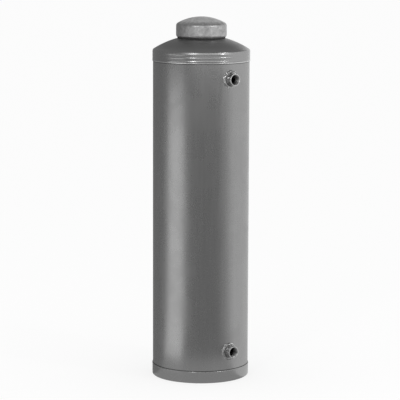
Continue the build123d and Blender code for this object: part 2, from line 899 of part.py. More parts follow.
def make_cap_screw_nuts():
    outer_face = collar_inner_radius - cap_nut_gap
    nut = block(cap_nut_size, cap_nut_size, outer_face - cap_nut_thickness, outer_face)
    nut -= rod(cap_screw_radius, outer_face - cap_nut_thickness, outer_face)
    return group(around(screw_axis(nut), cap_screw_azimuths))


# Supply cable gland, modelled along its axis from the tank's axis outwards

gland_seat = jacket_radius + gland_washer_thickness
gland_hex_end = gland_seat + gland_hex_height
gland_inner_end = jacket_inner_radius - gland_shank_length


def make_gland_body():
    body = rod(gland_thread_radius, gland_inner_end, gland_hex_end + gland_barrel_height)
    body += hexagon(gland_hex_flats, gland_seat, gland_hex_end)
    body -= rod(gland_bore_radius, gland_inner_end, gland_hex_end + gland_barrel_height)
    return on_cable_side(body)


def make_gland_washer():
    ring = tube(gland_washer_radius, gland_thread_radius + thread_fit, jacket_inner_radius, gland_seat)
    wall_bottom = gland_height - gland_hex_flats
    wall_top = gland_height + gland_hex_flats
    return on_cable_side(ring) - rod(jacket_radius, wall_bottom, wall_top)


def make_gland_locknut():
    outer_face = jacket_inner_radius - gland_locknut_gap
    inner_face = outer_face - gland_locknut_height
    nut = hexagon(gland_hex_flats, inner_face, outer_face)
    return on_cable_side(nut - rod(gland_thread_radius + thread_fit, inner_face, outer_face))


def make_gland_nut():
    bottom = gland_hex_end + gland_nut_gap
    top = bottom + gland_nut_height
    round_radius = gland_nut_flats / 2
    nut = hexagon(gland_nut_flats, bottom, bottom + gland_nut_height / 2)
    tip = rod(round_radius, bottom, top)
    nut += fillet(tip.edges().sort_by(Axis.Z)[-1], gland_nut_round)
    nut -= rod(gland_thread_radius + thread_fit, bottom, gland_hex_end + gland_barrel_height + gland_nut_gap)
    return on_cable_side(nut - rod(gland_nut_hole_radius, bottom, top))


def make_gland_bush():
    barrel_end = gland_hex_end + gland_barrel_height
    bush = rod(gland_bore_radius - thread_fit, barrel_end - gland_bush_sunk, barrel_end)
    bush += rod(gland_nut_hole_radius - thread_fit, barrel_end, barrel_end + gland_bush_reach)
    bush -= rod(gland_bush_bore_radius, barrel_end - gland_bush_sunk, barrel_end + gland_bush_reach)
    return on_cable_side(bush)


nodes = {
    "base_pan": make_base_pan(),
    "outer_jacket": make_outer_jacket(),
    "jacket_seam": make_jacket_seam(),
    "lid": make_lid(),
    "neck_collar": make_neck_collar(),
    "cap_seal": make_cap_seal(),
    "insulation_base": make_insulation_base(),
    "insulation_sleeve": make_insulation_sleeve(),
    "insulation_top": make_insulation_top(),
    "vessel_shell": make_vessel_shell(),
    "vessel_top_head": make_vessel_top_head(),
    "vessel_bottom_head": make_vessel_bottom_head(),
    "vessel_skirt": make_vessel_skirt(),
    "hot_outlet_socket": make_socket(outlet_height),
    "cold_inlet_socket": make_socket(inlet_height),
    "hot_outlet_weld": make_weld(outlet_height),
    "cold_inlet_weld": make_weld(inlet_height),
    "hot_outlet_pickup": make_hot_outlet_pickup(),
    "cold_inlet_spreader": make_cold_inlet_spreader(),
    "heater_flange": make_heater_flange(),
    "flange_gasket": make_flange_gasket(),
    "heater_plate": make_heater_plate(),
    "flange_washers": make_flange_washers(),
    "flange_bolts": make_flange_bolts(),
    "heating_elements": make_heating_elements(),
    "element_bushes": make_element_bushes(),
    "element_pins": make_element_pins(),
    "element_link": make_element_link(),
    "element_nuts": make_element_nuts(),
    "thermostat_pocket": make_thermostat_pocket(),
    "thermostat_stem": make_thermostat_stem(),
    "thermostat_body": make_thermostat_body(),
    "thermostat_blades": make_thermostat_blades(),
    "thermostat_dial": make_thermostat_dial(),
    "reset_button": make_reset_button(),
    "terminal_bracket": make_terminal_bracket(),
    "terminal_block": make_terminal_block(),
    "terminal_sleeves": make_terminal_sleeves(),
    "terminal_screws": make_terminal_screws(),
    "earth_stud": make_earth_stud(),
    "earth_nuts": make_earth_nuts(),
    "live_lead": make_live_lead(),
    "neutral_lead": make_neutral_lead(),
    "switched_lead": make_switched_lead(),
    "cap": make_cap(),
    "cap_screws": make_cap_screws(),
    "cap_screw_nuts": make_cap_screw_nuts(),
    "gland_body": make_gland_body(),
    "gland_washer": make_gland_washer(),
    "gland_locknut": make_gland_locknut(),
    "gland_nut": make_gland_nut(),
    "gland_bush": make_gland_bush(),
}

os.makedirs("parts", exist_ok=True)
for name, shape in nodes.items():
    export_step(shape, f"parts/{name}.step")
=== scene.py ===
from math import atan2, cos, hypot, pi, radians, sin, sqrt

import bpy
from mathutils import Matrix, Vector, noise


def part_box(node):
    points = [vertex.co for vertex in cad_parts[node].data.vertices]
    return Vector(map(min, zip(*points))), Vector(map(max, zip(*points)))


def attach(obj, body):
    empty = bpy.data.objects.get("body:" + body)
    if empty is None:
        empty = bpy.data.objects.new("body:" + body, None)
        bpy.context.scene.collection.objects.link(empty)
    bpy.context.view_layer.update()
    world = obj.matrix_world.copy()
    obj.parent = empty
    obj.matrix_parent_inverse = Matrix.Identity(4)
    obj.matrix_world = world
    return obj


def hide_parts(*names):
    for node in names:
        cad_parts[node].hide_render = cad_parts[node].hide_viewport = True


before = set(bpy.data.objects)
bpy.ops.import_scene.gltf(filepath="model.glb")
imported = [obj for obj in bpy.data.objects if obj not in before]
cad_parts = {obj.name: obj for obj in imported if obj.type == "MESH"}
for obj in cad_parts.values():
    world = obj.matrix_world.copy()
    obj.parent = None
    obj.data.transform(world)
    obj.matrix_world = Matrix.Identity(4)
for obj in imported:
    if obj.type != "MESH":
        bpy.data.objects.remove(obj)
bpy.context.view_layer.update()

scene = bpy.context.scene
scene.view_settings.view_transform = "Standard"

# Pipe sockets, in metres like all lengths here
OUTLET_HEIGHT = sum(corner.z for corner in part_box("hot_outlet_socket")) / 2
INLET_HEIGHT = sum(corner.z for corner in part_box("cold_inlet_socket")) / 2
SOCKET_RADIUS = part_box("hot_outlet_socket")[1].x
SOCKET_FACE = -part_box("hot_outlet_socket")[0].y
SOCKET_INNER_END = -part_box("hot_outlet_socket")[1].y
SOCKET_STEPS = 112
WATERWAY_RADIUS = 0.01005
THREAD_CREST_RADIUS = 0.01206
THREAD_DEPTH = 0.00116
THREAD_PITCH = 0.001814
THREAD_LENGTH = 0.016
THREAD_ROWS = 90
MOUTH_CHAMFER = 0.001
MOUTH_RUN_OUT = 0.4 * THREAD_PITCH
RIM_ROUND = 0.0008
RIM_TURNS = (0, 22.5, 45, 67.5, 90)
THREAD_START = SOCKET_FACE - THREAD_LENGTH
THREAD_END = SOCKET_FACE - MOUTH_CHAMFER

# Weld rings: their section, and how unevenly they are laid
JACKET_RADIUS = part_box("outer_jacket")[1].x
WELD_OUTER_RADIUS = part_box("hot_outlet_weld")[1].x
WELD_OVERLAP = 0.0004
WELD_RISE = 0.0032
WELD_CROWN_START = 0.04
WELD_CROWN_SPAN = 0.78
WELD_TOE_DEPTH = 0.0006
WELD_DEPTH = 0.0012
WELD_POINTS = 18
WELD_STEPS = 260
WELD_LUMPS_PER_METRE = (120, 300)
WELD_LUMP_RISES = (0.0015, 0.0011)
WELD_RIPPLES = 34
WELD_RIPPLE_RISE = 0.0005
WELD_RIPPLE_BOW = 1.1
WELD_RIPPLE_MIDDLE = 0.45
WELD_RIPPLE_STRAY = 0.7
WELD_STRAYS_PER_METRE = 90
WELD_SINK = 0.0003
WELD_BLEND = 0.0015
WELD_WANDER = 0.07
WELD_WANDERS_PER_METRE = 120
WELD_WANDER_SHIFT = Vector((0, 0, 7))

# Heights where the finish of the sheet changes, and where painted shade and a painted highlight lie on it
PAN_EDGE_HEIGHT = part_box("base_pan")[1].z
LID_EDGE_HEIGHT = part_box("lid")[0].z
SEAM_SHADE_HEIGHTS = (PAN_EDGE_HEIGHT + 0.0006, LID_EDGE_HEIGHT - 0.0008)
LID_ROLL_HEIGHT = LID_EDGE_HEIGHT + 0.0015
LID_DULL_RISE = 0.028
LID_DULL_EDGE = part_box("lid")[1].z - LID_DULL_RISE
CAP_CROWN_RISE = 0.008
CAP_CROWN_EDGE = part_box("cap")[1].z - 0.018

# The camera: its turn from the socket side, its distance from the tank's axis, its height and its lens
CAMERA_TURN = radians(37)
CAMERA_DISTANCE = 4.890
CAMERA_HEIGHT = 1.157
CAMERA_TILT = radians(8.314)
CAMERA_AIM = radians(0.053)
CAMERA_ROLL = radians(-0.2)
CAMERA_LENS = 177.4
CAMERA_SENSOR = 36

# The studio: sky, floor, cards and lamps
SKY_FILL = 0.93
FLOOR_SIZE = 40
FLOOR_HEIGHT = -0.0003
FLOOR_TONE = 0.95
FLOOR_GLOW = 0.75
DARK_CARD = 0.26
MIDDLE_CARD = 0.45
LIGHT_CARD = 0.75
CARD_STEPS = 48
CARD_DISTANCE = 2.0
SWEEP_START = 0.13
SWEEP_FLOOR = 0.0003
CEILING_HEIGHT = 2.2
CEILING_HOLE = 0.01
CEILING_REACH = 3.0
MAT_HEIGHT = 0.0006
MAT_START = 0.117
MAT_REACH = 0.38
LAMP_ELEVATION = 21
LAMP_DISTANCE = 1.85
LAMP_AIM_HEIGHT = 0.8
LAMP_SIZE = 0.2
LAMP_POWER = 3.4

# Small distances for modelling
START_SIZE = 0.001
MERGE_DISTANCE = 0.000001
NEAR = 0.00001


def grey(level):
    return (level, level, level, 1)


class Shade:
    """A value or colour in a finish. Arithmetic on values adds Math nodes."""

    def __init__(self, finish, socket):
        self.finish = finish
        self.socket = socket

    def __add__(self, other):
        return self.finish.math("ADD", self, other)

    def __radd__(self, other):
        return self.finish.math("ADD", other, self)

    def __sub__(self, other):
        return self.finish.math("SUBTRACT", self, other)

    def __rsub__(self, other):
        return self.finish.math("SUBTRACT", other, self)

    def __mul__(self, other):
        return self.finish.math("MULTIPLY", self, other)

    def __rmul__(self, other):
        return self.finish.math("MULTIPLY", other, self)

    def __truediv__(self, other):
        return self.finish.math("DIVIDE", self, other)

    def __rtruediv__(self, other):
        return self.finish.math("DIVIDE", other, self)


class Finish:
    """A node tree of a material or of the world, built up node by node."""

    def __init__(self, owner):
        owner.use_nodes = True
        self.owner = owner
        self.tree = owner.node_tree
        self.tree.nodes.clear()

    def node(self, kind, settings, sockets, output=0):
        """A node of any type: its settings first, then the values or links of its sockets."""
        made = self.tree.nodes.new(kind)
        for name, value in settings.items():
            if name == "stops":
                self.set_stops(made.color_ramp.elements, value)
            else:
                setattr(made, name, value)
        for name, value in sockets.items():
            if isinstance(value, Shade):
                self.tree.links.new(value.socket, made.inputs[name])
            else:
                made.inputs[name].default_value = value
        return Shade(self, made.outputs[output])

    def set_stops(self, elements, stops):
        while len(elements) < len(stops):
            elements.new(1.0)
        for element, (position, level) in zip(elements, stops):
            element.position = position
            element.color = grey(level)

    def math(self, operation, *values):
        return self.node("ShaderNodeMath", {"operation": operation}, dict(enumerate(values)))

    def mix(self, factor, first, second):
        """A colour between two colours."""
        return self.node("ShaderNodeMix", {"data_type": "RGBA"}, {0: factor, 6: first, 7: second}, 2)

    def place(self):
        """The place on the piece, in metres."""
        return self.node("ShaderNodeTexCoord", {}, {}, "Object")

    def stretch(self, place, x, y, z):
        return self.node("ShaderNodeVectorMath", {"operation": "MULTIPLY"}, {0: place, 1: (x, y, z)})

    def split(self, place):
        parts = self.node("ShaderNodeSeparateXYZ", {}, {0: place})
        return [Shade(self, output) for output in parts.socket.node.outputs]

    def join(self, x, y, z):
        return self.node("ShaderNodeCombineXYZ", {}, {0: x, 1: y, 2: z})

    def cloud(self, place, scale, detail, roughness=0.5, distortion=0.0):
        """Soft noise from 0 to 1."""
        sockets = {"Vector": place, "Scale": scale, "Detail": detail}
        sockets |= {"Roughness": roughness, "Distortion": distortion}
        return self.node("ShaderNodeTexNoise", {}, sockets)

    def cells(self, place, scale):
        """The distance to the nearest of many scattered points."""
        return self.node("ShaderNodeTexVoronoi", {}, {"Vector": place, "Scale": scale})

    def ramp(self, value, *stops):
        return self.node("ShaderNodeValToRGB", {"stops": stops}, {0: value})

    def line(self, above, height, full, none):
        """1 on a level line round the tank, falling to 0 beside it. full and none are in millimetres."""
        away = self.math("ABSOLUTE", above - height) * 1000
        return self.ramp(away, (full, 1), (none, 0))

    def rounds(self, place):
        """Places that are the same all the way round the tank's axis, for marks left by spinning."""
        x, y, z = self.split(place)
        return self.join(self.math("SQRT", x * x + y * y), 0.0, z)

    def relief(self, height):
        """A surface direction from a height in metres."""
        return self.node("ShaderNodeBump", {}, {"Strength": 1.0, "Distance": 1.0, "Height": height})

    def surface(self, **sockets):
        """The piece's own shader. The words of a socket's name are joined by underscores."""
        named = {name.replace("_", " "): value for name, value in sockets.items()}
        return self.close(self.node("ShaderNodeBsdfPrincipled", {}, named))

    def close(self, shader):
        """Joins the shader to the output, and gives the finished material or world."""
        kind = "World" if isinstance(self.owner, bpy.types.World) else "Material"
        end = self.tree.nodes.new("ShaderNodeOutput" + kind)
        self.tree.links.new(shader.socket, end.inputs["Surface"])
        return self.owner


def new_finish(name):
    return Finish(bpy.data.materials.new(name))


# Finishes


def sheet_steel(name, spun, level, sheen, brushed):
    """Bare satin stainless sheet: rolling or spinning grain, smudges from handling, fine scratches, painted
    shade along the seams, a painted highlight on the lid's roll, a dome darker and rougher towards the neck
    and a slight ripple in the sheet."""
    steel = new_finish(name)
    place = steel.place()
    if spun:
        grain_place = steel.rounds(place)
        streak_place = grain_place
    else:
        grain_place = steel.stretch(place, 1, 1, 0.02)
        streak_place = steel.stretch(place, 1, 1, 0.06)
    grain = steel.cloud(grain_place, 2200, 3)
    streak = steel.cloud(streak_place, 130, 3)
    ripple = steel.cloud(steel.stretch(place, 1, 1, 0.45), 9, 1)
    smudge = steel.ramp(steel.cloud(place, 14, 5, 0.6, 0.6), (0.45, 0), (0.75, 1))
    scratch_place = steel.stretch(place, 90, 90, 1500)
    scratch = steel.ramp(steel.cloud(scratch_place, 1, 1, 0.4, 0.4), (0.74, 0), (0.80, 1))
    tone = steel.mix(streak, grey(level * 0.93), grey(level * 1.06))
    tone = steel.mix(smudge * 0.35, tone, grey(level * 0.88))
    above = steel.split(place)[2]
    # Painted shade: dark lines on the sheet along the seams, above the pan and under the lid's hem
    for height in SEAM_SHADE_HEIGHTS:
        seam_shade = steel.line(above, height, 0.5, 1.0)
        tone = steel.mix(seam_shade * 0.8, tone, grey(level * 0.15))
    # Painted highlight: a light line along the lid's roll
    lightened = steel.line(above, LID_ROLL_HEIGHT, 0.7, 1.0)
    tone = steel.mix(lightened * 0.85, tone, grey(0.9))
    # The dome is made darker and rougher towards the neck
    dull_near_neck = steel.ramp((above - LID_DULL_EDGE) / LID_DULL_RISE, (0, 0), (0.4, 1))
    tone = steel.mix(dull_near_neck * 0.9, tone, grey(level * 0.74))
    uneven = steel.cloud(place, 75, 3, 0.6)
    relief = ripple * 0.0011 + uneven * 0.00003 + grain * 0.0000012 + scratch * 0.000004
    return steel.surface(
        Base_Color=tone,
        Metallic=1.0,
        Roughness=sheen + smudge * 0.07 + streak * 0.05 + grain * 0.03 + scratch * 0.08 + dull_near_neck * 0.14,
        Anisotropic=brushed,
        Normal=steel.relief(relief),
    )


def cap_steel():
    """Dull spun sheet, slightly dented, mottled by weather and hands, with a painted highlight on the
    crown, which is also rougher.
    """
    steel = new_finish("cap_sheet")
    place = steel.place()
    rounds = steel.rounds(place)
    grain = steel.cloud(rounds, 2200, 3)
    streak = steel.cloud(rounds, 130, 3)
    dents = steel.cloud(place, 75, 3, 0.6)
    marks = steel.ramp(steel.cloud(place, 100, 4, 0.65, 0.4), (0.38, 0), (0.62, 1))
    above = steel.split(place)[2]
    crown = steel.ramp((above - CAP_CROWN_EDGE) / CAP_CROWN_RISE, (0, 0), (1, 1))
    tone = steel.mix(streak, grey(0.57), grey(0.65))
    # Painted highlight: the crown is made lighter
    tone = steel.mix(crown, tone, grey(0.95))
    tone = steel.mix(marks * (0.62 - crown * 0.34), tone, grey(0.34))
    return steel.surface(
        Base_Color=tone,
        Metallic=1.0,
        Roughness=0.36 + crown * 0.26 + marks * 0.09 + streak * 0.05 + grain * 0.03,
        Normal=steel.relief(dents * 0.0006 + grain * 0.0000012),
    )


def bore_steel():
    """The used inside of a pipe socket: worn steel at the mouth, darkened further in by painted shade."""
    bore = new_finish("socket_bore")
    place = bore.place()
    film = bore.cloud(place, 350, 4, 0.6)
    outwards = -THREAD_START - bore.split(place)[1]
    # Painted shade: the bore turns dark further in from the mouth
    unshaded_mouth = bore.ramp(outwards / THREAD_LENGTH, (0.35, 0), (0.9, 1))
    worn = bore.mix(film, grey(0.72), grey(0.48))
    return bore.surface(
        Base_Color=bore.mix(unshaded_mouth, grey(0.16), worn),
        Metallic=1.0,
        Roughness=0.28 + film * 0.16,
        Normal=bore.relief(film * 0.00002),
    )


def face_steel():
    """The freshly faced end of a pipe socket, with a dull turned grain."""
    face = new_finish("socket_face")
    place = face.place()
    grain = face.cloud(face.stretch(place, 1, 0.1, 1), 2600, 3)
    wear = face.cloud(place, 260, 3)
    return face.surface(
        Base_Color=face.mix(wear, grey(0.74), grey(0.60)),
        Metallic=1.0,
        Roughness=0.36 + grain * 0.14,
        Normal=face.relief(grain * 0.00001),
    )


def weld_steel(name, bright, dull, sheen, relief):
    """Weld metal, or steel close to a weld: scaly and pitted, with darker heat marks."""
    weld = new_finish(name)
    place = weld.place()
    scale = weld.cloud(place, 420, 4, 0.6)
    pits = weld.ramp(weld.cells(place, 620), (0.08, 1), (0.3, 0))
    heat = weld.ramp(weld.cloud(place, 120, 2), (0.35, 0), (0.7, 1))
    tone = weld.mix(heat, grey(bright), grey(dull))
    tone = weld.mix(pits * 0.6, tone, grey(0.16))
    return weld.surface(
        Base_Color=tone,
        Metallic=1.0,
        Roughness=sheen + scale * 0.16 + heat * 0.08,
        Normal=weld.relief(scale * relief - pits * (relief * 0.7)),
    )


def vessel_steel():
    """Dull mill-finish stainless, with faint water stains."""
    steel = new_finish("mill_steel")
    place = steel.place()
    grain = steel.cloud(steel.stretch(place, 1, 1, 0.1), 900, 3)
    stain = steel.ramp(steel.cloud(place, 45, 5, 0.65), (0.42, 0), (0.7, 1))
    tone = steel.mix(stain, (0.52, 0.52, 0.515, 1), (0.42, 0.41, 0.395, 1))
    return steel.surface(
        Base_Color=tone,
        Metallic=1.0,
        Roughness=0.30 + stain * 0.12 + grain * 0.08,
        Normal=steel.relief(grain * 0.000006),
    )


def insulating_foam():
    """Rigid poured foam: fine cells and a few larger blow holes under a pale skin."""
    foam = new_finish("poured_foam")
    place = foam.place()
    cells = foam.cells(place, 900)
    holes = foam.ramp(foam.cells(place, 130), (0.05, 1), (0.16, 0))
    shade = foam.cloud(place, 30, 4)
    tone = foam.mix(shade, (0.80, 0.70, 0.46, 1), (0.72, 0.60, 0.36, 1))
    tone = foam.mix(holes * 0.7, tone, (0.48, 0.37, 0.20, 1))
    return foam.surface(
        Base_Color=tone,
        Roughness=0.85 + shade * 0.1,
        Normal=foam.relief(cells * 0.0003 - holes * 0.0008),
    )


def black_rubber():
    """Black rubber with a faint pale bloom."""
    rubber = new_finish("black_rubber")
    place = rubber.place()
    bloom = rubber.ramp(rubber.cloud(place, 160, 4, 0.6), (0.4, 0), (0.75, 1))
    fine = rubber.cloud(place, 1800, 2)
    tone = rubber.mix(bloom, (0.018, 0.018, 0.018, 1), (0.045, 0.044, 0.042, 1))
    return rubber.surface(
        Base_Color=tone,
        Roughness=0.58 + bloom * 0.18,
        Normal=rubber.relief(fine * 0.00004),
    )


def zinc_plate():
    """Bright zinc on small steel fasteners, with a faint blue and straw cast."""
    zinc = new_finish("zinc_plate")
    place = zinc.place()
    cast = zinc.cloud(place, 140, 3)
    dull = zinc.ramp(zinc.cloud(place, 420, 4, 0.6), (0.45, 0), (0.7, 1))
    tone = zinc.mix(cast, (0.56, 0.58, 0.61, 1), (0.62, 0.60, 0.54, 1))
    tone = zinc.mix(dull * 0.45, tone, (0.44, 0.44, 0.43, 1))
    return zinc.surface(
        Base_Color=tone,
        Metallic=1.0,
        Roughness=0.24 + dull * 0.2,
        Normal=zinc.relief(zinc.cloud(place, 2400, 2) * 0.000008),
    )


def element_sheath():
    """Nickel alloy tube, browned by heat."""
    sheath = new_finish("browned_sheath")
    place = sheath.place()
    heat = sheath.cloud(sheath.stretch(place, 1, 1, 0.3), 60, 4)
    scale = sheath.ramp(sheath.cloud(place, 500, 3), (0.5, 0), (0.72, 1))
    tone = sheath.mix(heat, (0.30, 0.28, 0.26, 1), (0.20, 0.16, 0.12, 1))
    tone = sheath.mix(scale * 0.5, tone, (0.40, 0.38, 0.35, 1))
    return sheath.surface(
        Base_Color=tone,
        Metallic=1.0,
        Roughness=0.36 + scale * 0.2,
        Normal=sheath.relief(scale * 0.00003),
    )


def white_ceramic():
    """Fired white ceramic with a few brown specks."""
    ceramic = new_finish("steatite")
    place = ceramic.place()
    speck = ceramic.ramp(ceramic.cells(place, 700), (0.04, 1), (0.12, 0))
    shade = ceramic.cloud(place, 120, 3)
    tone = ceramic.mix(shade, (0.80, 0.785, 0.74, 1), (0.72, 0.70, 0.65, 1))
    tone = ceramic.mix(speck * 0.5, tone, (0.45, 0.41, 0.35, 1))
    return ceramic.surface(
        Base_Color=tone,
        Roughness=0.34 + shade * 0.14,
        Normal=ceramic.relief(ceramic.cloud(place, 1500, 2) * 0.00002),
    )


def tarnished_metal(name, bright, dark, patch):
    """Copper or brass, bright where it is handled and tarnished elsewhere."""
    metal = new_finish(name)
    place = metal.place()
    tarnish = metal.ramp(metal.cloud(place, patch, 4, 0.6), (0.4, 0), (0.7, 1))
    fine = metal.cloud(place, 1600, 3)
    return metal.surface(
        Base_Color=metal.mix(tarnish, bright, dark),
        Metallic=1.0,
        Roughness=0.24 + tarnish * 0.16 + fine * 0.06,
        Normal=metal.relief(fine * 0.000008),
    )


def moulded_plastic(name, colour, worn, sheen, grain_depth):
    """Moulded plastic with a fine spark-eroded grain and slightly rubbed patches."""
    plastic = new_finish(name)
    place = plastic.place()
    grain = plastic.cloud(place, 2600, 2)
    lightened = plastic.ramp(plastic.cloud(place, 150, 4), (0.45, 0), (0.75, 1))
    return plastic.surface(
        Base_Color=plastic.mix(lightened * 0.6 + grain * 0.2, colour, worn),
        Roughness=sheen + grain * 0.12 - lightened * 0.08,
        Normal=plastic.relief(grain * grain_depth),
    )


def wire_sleeving(name, colour, worn):
    return moulded_plastic(name, colour, worn, sheen=0.40, grain_depth=0.00002)


jacket_sheet = sheet_steel("jacket_sheet", spun=False, level=0.42, sheen=0.22, brushed=0.7)
spun_sheet = sheet_steel("spun_sheet", spun=True, level=0.42, sheen=0.20, brushed=0.3)
cap_sheet = cap_steel()
socket_steel = weld_steel("turned_socket", bright=0.52, dull=0.34, sheen=0.20, relief=0.00012)
socket_bore = bore_steel()
socket_face = face_steel()
weld_metal = weld_steel("weld_metal", bright=0.66, dull=0.28, sheen=0.09, relief=0.00022)
mill_steel = vessel_steel()
foam = insulating_foam()
rubber = black_rubber()
zinc = zinc_plate()
sheath = element_sheath()
ceramic = white_ceramic()
copper = tarnished_metal("copper", (0.70, 0.36, 0.23, 1), (0.42, 0.19, 0.12, 1), patch=200)
brass = tarnished_metal("brass", (0.74, 0.57, 0.26, 1), (0.50, 0.36, 0.15, 1), patch=240)
black_plastic = moulded_plastic(
    "black_nylon", (0.022, 0.022, 0.024, 1), (0.05, 0.05, 0.052, 1), sheen=0.42, grain_depth=0.00005
)
grey_plastic = moulded_plastic(
    "grey_dial", (0.40, 0.41, 0.42, 1), (0.48, 0.49, 0.50, 1), sheen=0.40, grain_depth=0.00003
)
red_plastic = moulded_plastic(
    "red_button", (0.58, 0.05, 0.04, 1), (0.66, 0.12, 0.09, 1), sheen=0.30, grain_depth=0.00001
)
brown_wire = wire_sleeving("brown_sleeving", (0.17, 0.075, 0.03, 1), (0.24, 0.12, 0.06, 1))
blue_wire = wire_sleeving("blue_sleeving", (0.04, 0.13, 0.42, 1), (0.09, 0.20, 0.50, 1))
red_wire = wire_sleeving("red_sleeving", (0.46, 0.04, 0.03, 1), (0.54, 0.10, 0.08, 1))

node_finishes = {
    jacket_sheet: ["outer_jacket"],
    spun_sheet: ["lid", "base_pan"],
    cap_sheet: ["cap"],
    socket_steel: ["hot_outlet_socket", "cold_inlet_socket"],
    weld_metal: ["jacket_seam", "hot_outlet_weld", "cold_inlet_weld"],
    mill_steel: [
        "neck_collar", "vessel_shell", "vessel_top_head", "vessel_bottom_head", "vessel_skirt",
        "hot_outlet_pickup", "cold_inlet_spreader", "heater_flange", "heater_plate", "thermostat_pocket",
        "terminal_bracket",
    ],
    foam: ["insulation_base", "insulation_sleeve", "insulation_top"],
    rubber: ["cap_seal", "flange_gasket", "gland_washer", "gland_bush"],
    zinc: [
        "flange_washers", "flange_bolts", "element_nuts", "element_pins", "earth_stud", "earth_nuts",
        "cap_screws", "cap_screw_nuts",
    ],
    sheath: ["heating_elements"],
    ceramic: ["element_bushes", "terminal_block"],
    copper: ["element_link", "thermostat_stem"],
    brass: ["thermostat_blades", "terminal_sleeves", "terminal_screws"],
    black_plastic: ["thermostat_body", "gland_body", "gland_locknut", "gland_nut"],
    grey_plastic: ["thermostat_dial"],
    red_plastic: ["reset_button"],
    brown_wire: ["live_lead"],
    blue_wire: ["neutral_lead"],
    red_wire: ["switched_lead"],
}
for finish, names in node_finishes.items():
    for name in names:
        for material_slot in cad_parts[name].material_slots:
            material_slot.material = finish


# Pieces modelled here


def drawn_line(name, points):
    """A new mesh of edges from point to point, left in edit mode with all of it selected."""
    bpy.ops.object.select_all(action="DESELECT")
    bpy.ops.mesh.primitive_plane_add(size=START_SIZE)
    piece = bpy.context.object
    piece.name = name
    bpy.ops.object.mode_set(mode="EDIT")
    bpy.ops.mesh.merge(type="CENTER")
    bpy.ops.transform.translate(value=points[0])
    for last, point in zip(points, points[1:]):
        step = [new - old for old, new in zip(last, point)]
        bpy.ops.mesh.extrude_region_move(TRANSFORM_OT_translate={"value": step})
    bpy.ops.mesh.select_all(action="SELECT")
    return piece


def spun_ring(name, profile, height, steps):
    """A closed ring about a socket's axis. The profile gives distances from that axis and along -Y."""
    points = [(0, -along, height + across) for across, along in profile + profile[:1]]
    piece = drawn_line(name, points)
    bpy.ops.mesh.remove_doubles(threshold=MERGE_DISTANCE)
    bpy.ops.mesh.spin(steps=steps, angle=2 * pi, center=(0, 0, height), axis=(0, 1, 0))
    bpy.ops.mesh.select_all(action="SELECT")
    bpy.ops.mesh.remove_doubles(threshold=MERGE_DISTANCE)
    bpy.ops.mesh.normals_make_consistent(inside=False)
    bpy.ops.object.mode_set(mode="OBJECT")
    return piece


def fit_piece(piece, node, finishes):
    """Puts a finished piece in place of a node of the tank."""
    piece.data.materials.clear()
    for finish in finishes:
        piece.data.materials.append(finish)
    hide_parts(node)
    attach(piece, "tank")


def cut_thread(piece, height):
    """Cuts a pipe thread into the crest of a socket's bore. It runs out at both ends."""
    for vertex in piece.data.vertices:
        along = -vertex.co.y
        across = hypot(vertex.co.x, vertex.co.z - height)
        if abs(across - THREAD_CREST_RADIUS) > NEAR or not THREAD_START < along < THREAD_END:
            continue
        turn = atan2(vertex.co.x, vertex.co.z - height) / (2 * pi)
        wave = 0.5 - 0.5 * cos(2 * pi * (along / THREAD_PITCH - turn))
        fade = min(1.0, (along - THREAD_START) / THREAD_PITCH, (THREAD_END - along) / MOUTH_RUN_OUT)
        growth = 1 + THREAD_DEPTH * wave * fade / across
        vertex.co.x *= growth
        vertex.co.z = height + (vertex.co.z - height) * growth


def threaded_socket(name, node, height):
    """A turned pipe socket with a real pipe thread in its mouth."""
    profile = [(WATERWAY_RADIUS, SOCKET_INNER_END), (WATERWAY_RADIUS, THREAD_START)]
    for row in range(THREAD_ROWS + 1):
        along = THREAD_START + (THREAD_END - THREAD_START) * row / THREAD_ROWS
        profile.append((THREAD_CREST_RADIUS, along))
    profile.append((THREAD_CREST_RADIUS + MOUTH_CHAMFER, SOCKET_FACE))
    for turn in RIM_TURNS:
        across = SOCKET_RADIUS - RIM_ROUND * (1 - sin(radians(turn)))
        profile.append((across, SOCKET_FACE - RIM_ROUND * (1 - cos(radians(turn)))))
    profile.append((SOCKET_RADIUS, SOCKET_INNER_END))
    piece = spun_ring(name, profile, height, SOCKET_STEPS)
    cut_thread(piece, height)
    bpy.ops.object.shade_smooth_by_angle(angle=radians(40))
    finishes = [socket_steel, socket_bore, socket_face]
    fit_piece(piece, node, finishes)
    for face in piece.data.polygons:
        across = hypot(face.center.x, face.center.z - height)
        along = -face.center.y
        if across < THREAD_CREST_RADIUS + THREAD_DEPTH and along < THREAD_END:
            face.material_index = finishes.index(socket_bore)
        elif along > SOCKET_FACE - RIM_ROUND:
            face.material_index = finishes.index(socket_face)


